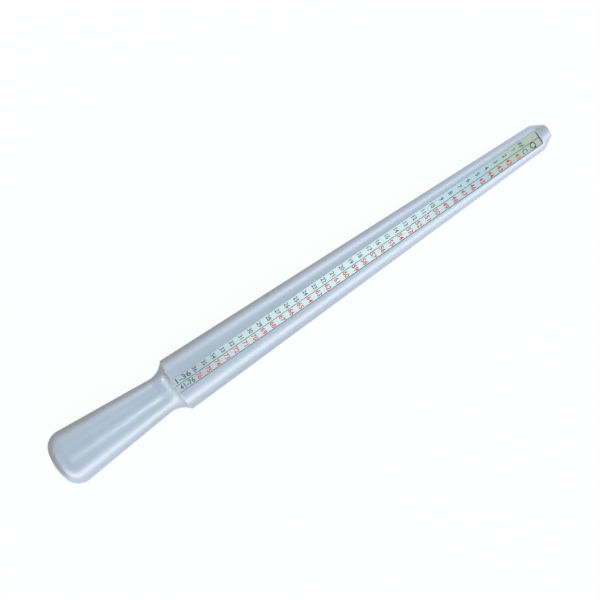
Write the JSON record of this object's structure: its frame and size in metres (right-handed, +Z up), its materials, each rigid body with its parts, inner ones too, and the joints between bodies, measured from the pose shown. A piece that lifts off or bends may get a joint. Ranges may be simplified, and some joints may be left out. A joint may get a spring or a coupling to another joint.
{
  "type": "ring mandrel",
  "caption": "Tapered aluminium ring mandrel with a plain grip and a printed size scale set in a channel, lying on its cone.",
  "frame": {"origin": "on the surface it lies on, under the middle of its length and width", "axes": "+X from the grip to the tip, +Z up through the scale, +Y to the side of the black row"},
  "size_m": [0.2558, 0.025, 0.0267],
  "materials": {
    "satin_aluminium": "satin anodised, fine turned surface",
    "printed_strip": "satin foil, printed in black and red",
    "black_print": "thin printed ink",
    "red_print": "thin printed ink"
  },
  "bodies": {
    "root": {"mandrel_body": "satin_aluminium", "scale_strip": "printed_strip"}
  },
  "joints": []
}
